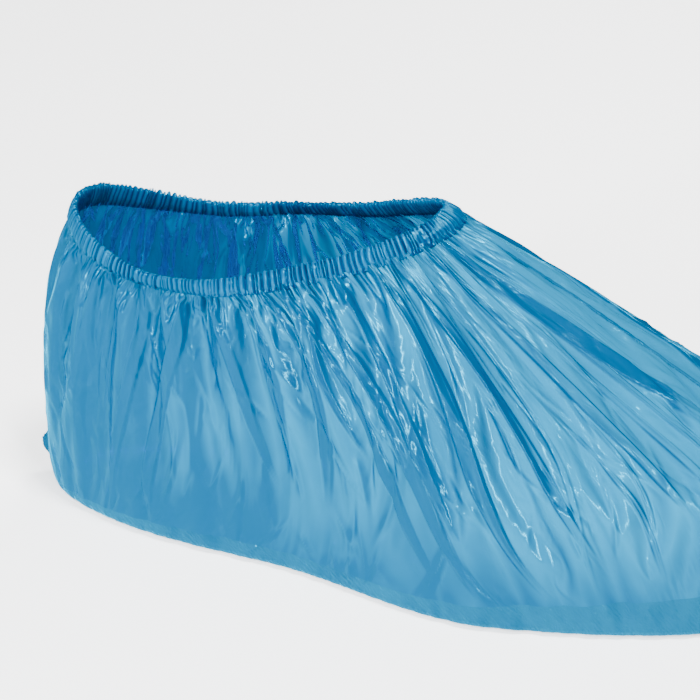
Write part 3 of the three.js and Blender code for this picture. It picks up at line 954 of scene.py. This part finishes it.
def seam_rib(name, at, stand_at, material):
    """A welded seam: a crimped fin that runs up from the sole film to the hem."""
    top = film_top(1, OUTER_FOLDS, np.array([[float(at)]]))[0, 0]
    share = np.linspace(0.012, top + 0.004, SEAM_ROWS)
    line = plain_film(at, share)
    out = out_of_film(np.full_like(share, at), share)
    run = np.concatenate([[0], np.cumsum(np.linalg.norm(np.diff(line, axis=0), axis=-1))])[:, None]
    stand = stand_at(line[:, 2])[:, None]
    crimp = np.sin(2 * np.pi * run / CRIMP_PITCH)
    turn = (2 * np.pi * np.arange(SEAM_ROUND) / SEAM_ROUND)[None, :]
    outward = (0.5 - 0.5 * np.cos(turn)) * stand * (1 + 0.06 * crimp) - RIB_SUNK
    thin = RIB_HALF_WIDTH * (1 - 0.35 * smooth(stand, 2 * MM, 6 * MM))
    tip = np.clip(outward / (6 * MM), 0, 1)
    sideways = np.sin(turn) * thin + CRIMP_DEPTH * crimp * (0.25 + tip)
    beside = np.array([0.0, 1.0, 0.0])
    points = line[:, None] + out[:, None] * outward[..., None] + beside * sideways[..., None]
    fibre = np.stack([sideways, np.broadcast_to(run, sideways.shape), outward], axis=-1)
    # How much the rib's colour is deepened: by a share along all of it, and more towards the fin's edge.
    slope = 0.35 + 0.4 * np.clip(outward / stand, 0, 1)
    faces = grid_faces(SEAM_ROWS, SEAM_ROUND, ring=True, flip=True)
    attributes = {"fibre": fibre.reshape(-1, 3), "slope": slope.ravel()}
    piece = new_piece(name, points.reshape(-1, 3), faces, material, attributes)
    close_ends(piece)
    return piece


def close_ends(piece):
    shape = bmesh.new()
    shape.from_mesh(piece.data)
    edges = [edge for edge in shape.edges if edge.is_boundary]
    bmesh.ops.holes_fill(shape, edges=edges)
    bmesh.ops.recalc_face_normals(shape, faces=shape.faces)
    shape.to_mesh(piece.data)
    shape.free()


def heel_stand(height):
    return np.interp(height, EAR[:, 0], EAR[:, 1])


def toe_stand(height):
    return np.full_like(height, RIB_STAND)


def node_tree(name):
    material = bpy.data.materials.new(name)
    material.use_nodes = True
    tree = material.node_tree
    tree.nodes.clear()
    return material, tree


def add_node(tree, kind, values=None, links=None):
    """A shader node, with values set on its own inputs and links made to its other inputs."""
    node = tree.nodes.new(kind)
    for key, value in (values or {}).items():
        node.inputs[key].default_value = value
    for key, start in (links or {}).items():
        tree.links.new(start, node.inputs[key])
    return node


def attribute_node(tree, name):
    node = add_node(tree, "ShaderNodeAttribute")
    node.attribute_name = name
    return node


def math_node(tree, operation, first, second):
    """Arithmetic on an output and a second output or a number."""
    node = add_node(tree, "ShaderNodeMath", links={0: first})
    node.operation = operation
    if isinstance(second, float):
        node.inputs[1].default_value = second
    else:
        tree.links.new(second, node.inputs[1])
    return node.outputs[0]


def colour_ramp(tree, value, deep, light):
    node = add_node(tree, "ShaderNodeValToRGB", links={0: value})
    for element, place, colour in zip(node.color_ramp.elements, (DEEP_TONE, LIGHT_TONE), (deep, light)):
        element.position = place
        element.color = (*colour, 1)
    return node.outputs[0]


def bump(tree, height, values, under=None):
    """A bump of a height, over another one where that is given."""
    links = {"Height": height}
    if under is not None:
        links["Normal"] = under
    return add_node(tree, "ShaderNodeBump", values, links).outputs[0]


def mixed(tree, share, first, second):
    """Two shaders mixed: share is a number or an output."""
    links = {1: first.outputs[0], 2: second.outputs[0]}
    if isinstance(share, float):
        return add_node(tree, "ShaderNodeMixShader", {0: share}, links)
    return add_node(tree, "ShaderNodeMixShader", None, {0: share, **links})


def film_colour(tree, look, drawn_out):
    """Deep where the film lies double, deepened with painted shade where it folds steeply and, on the
    walls, at the heel and low down, lightened with painted light at the toe, and light where it lies open.
    """
    slope = attribute_node(tree, "slope").outputs["Fac"]
    # The deep attribute holds the doubled film and the walls' painted shade at the heel and low down and
    # painted light at the toe.
    doubled_and_shade = attribute_node(tree, "deep").outputs["Fac"]
    cloud = add_node(tree, "ShaderNodeTexNoise", CLOUD, {"Vector": drawn_out}).outputs["Fac"]
    tone = math_node(tree, "SUBTRACT", cloud, math_node(tree, "MULTIPLY", slope, look["steepness"]))
    tone = math_node(tree, "SUBTRACT", tone, math_node(tree, "MULTIPLY", doubled_and_shade, DOUBLED_AND_SHADE_DEPTH))
    return colour_ramp(tree, tone, look["deep"], look["light"])


def film_relief(tree, look, fibre, drawn_out):
    """The finest wrinkles, soft ripples over them and, on the sole, the embossed grain."""
    wrinkle = add_node(tree, "ShaderNodeTexNoise", WRINKLE, {"Vector": drawn_out})
    wrinkle.noise_type = "RIDGED_MULTIFRACTAL"
    ripple = add_node(tree, "ShaderNodeTexNoise", RIPPLE, {"Vector": drawn_out})
    relief = bump(tree, wrinkle.outputs["Fac"], WRINKLE_BUMP)
    relief = bump(tree, ripple.outputs["Fac"], RIPPLE_BUMP, relief)
    if look["emboss"]:
        grain = add_node(tree, "ShaderNodeTexWave", GRAIN, {"Vector": fibre})
        grain.bands_direction = "DIAGONAL"
        embossed = {"Strength": look["emboss"], "Distance": GRAIN_DEPTH}
        relief = bump(tree, grain.outputs["Fac"], embossed, relief)
    return relief


def film_material(name, look):
    """Film that shines, glows with the light behind it and can be seen through a little."""
    look = dict(zip(LOOK_COLUMNS, look))
    material, tree = node_tree(name)
    fibre = attribute_node(tree, "fibre").outputs["Vector"]
    drawn_out = add_node(tree, "ShaderNodeMapping", {"Scale": look["run"]}, {"Vector": fibre}).outputs[0]
    colour = film_colour(tree, look, drawn_out)
    relief = film_relief(tree, look, fibre, drawn_out)

    matt = {"Roughness": look["roughness"], "Specular IOR Level": 0}
    body = add_node(tree, "ShaderNodeBsdfPrincipled", matt, {"Base Color": colour, "Normal": relief})
    through = add_node(tree, "ShaderNodeBsdfTranslucent", None, {"Color": colour, "Normal": relief})
    shiny = {"Roughness": look["roughness"], "Color": GLOSS_COLOUR}
    gloss = add_node(tree, "ShaderNodeBsdfGlossy", shiny, {"Normal": relief})
    mirror = add_node(tree, "ShaderNodeFresnel", {"IOR": GLOSS_IOR}, {"Normal": relief})
    open_film = add_node(tree, "ShaderNodeBsdfTransparent", None, {"Color": colour})
    glowing = mixed(tree, THROUGH_SHARE, body, through)
    coated = mixed(tree, mirror.outputs[0], glowing, gloss)
    shown = mixed(tree, look["clear"], coated, open_film)
    add_node(tree, "ShaderNodeOutputMaterial", None, {"Surface": shown.outputs[0]})
    return material


def floor_material():
    material, tree = node_tree("pale_floor")
    shader = add_node(tree, "ShaderNodeBsdfPrincipled", {
        "Base Color": FLOOR_COLOUR,
        "Roughness": 0.6,
        "Emission Color": (1, 1, 1, 1),
        "Emission Strength": FLOOR_GLOW,
    })
    add_node(tree, "ShaderNodeOutputMaterial", None, {"Surface": shader.outputs[0]})
    return material


def place_camera():
    data = bpy.data.cameras.new("photo_camera")
    data.lens = CAMERA_LENS
    data.sensor_width = CAMERA_SENSOR
    data.clip_start = CAMERA_NEAR
    camera = bpy.data.objects.new("photo_camera", data)
    level = math.cos(CAMERA_ELEVATION)
    away = Vector((
        math.sin(CAMERA_AZIMUTH) * level,
        -math.cos(CAMERA_AZIMUTH) * level,
        math.sin(CAMERA_ELEVATION),
    ))
    camera.location = TARGET + CAMERA_DISTANCE * away
    camera.rotation_euler = (-away).to_track_quat("-Z", "Y").to_euler()
    bpy.context.scene.collection.objects.link(camera)
    bpy.context.scene.camera = camera


def soft_light(name, place, size, power):
    data = bpy.data.lights.new(name, "AREA")
    data.shape = "RECTANGLE"
    data.size, data.size_y = size
    data.energy = power
    light = bpy.data.objects.new(name, data)
    light.location = place
    light.rotation_euler = (TARGET - Vector(place)).to_track_quat("-Z", "Y").to_euler()
    bpy.context.scene.collection.objects.link(light)


def light_stage():
    world = bpy.data.worlds.new("studio")
    world.use_nodes = True
    background = world.node_tree.nodes["Background"]
    background.inputs["Color"].default_value = WORLD_COLOUR
    background.inputs["Strength"].default_value = WORLD_STRENGTH
    bpy.context.scene.world = world
    for light in LIGHTS:
        soft_light(**dict(zip(LIGHT_COLUMNS, light)))


def lay_floor():
    line = np.linspace(-FLOOR_REACH, FLOOR_REACH, FLOOR_STEPS + 1)
    x, y = np.meshgrid(line, line)
    points = np.stack([x, y, np.zeros_like(x)], axis=-1).reshape(-1, 3)
    floor = new_piece("floor", points, grid_faces(len(line), len(line)), floor_material())
    floor.location.z = -FLOOR_DROP


place_camera()
light_stage()
lay_floor()

film = film_material("film", FILM_LOOK)
outer = film_side(1)
inner = film_side(-1)
outer_film = film_wall("outer_film", outer, 1, film)
inner_film = film_wall("inner_film", inner, -1, film)
sole = sole_film(outer, inner, film_material("sole_film", SHADED_SOLE_LOOK))
hem = hem_band(film_material("hem_film", HEM_LOOK))
heel_seam = seam_rib("heel_rib", 0, heel_stand, film)
toe_seam = seam_rib("toe_rib", 180, toe_stand, film)
for piece, node, slot in (
    (outer_film, "outer_panel", "film"),
    (inner_film, "inner_panel", "film"),
    (sole, "sole_panel", "sole_film"),
    (hem, "elastic_hem", "hem_film"),
    (heel_seam, "heel_seam", "film"),
    (toe_seam, "toe_seam", "film"),
):
    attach(piece, "root")
    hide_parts(node)
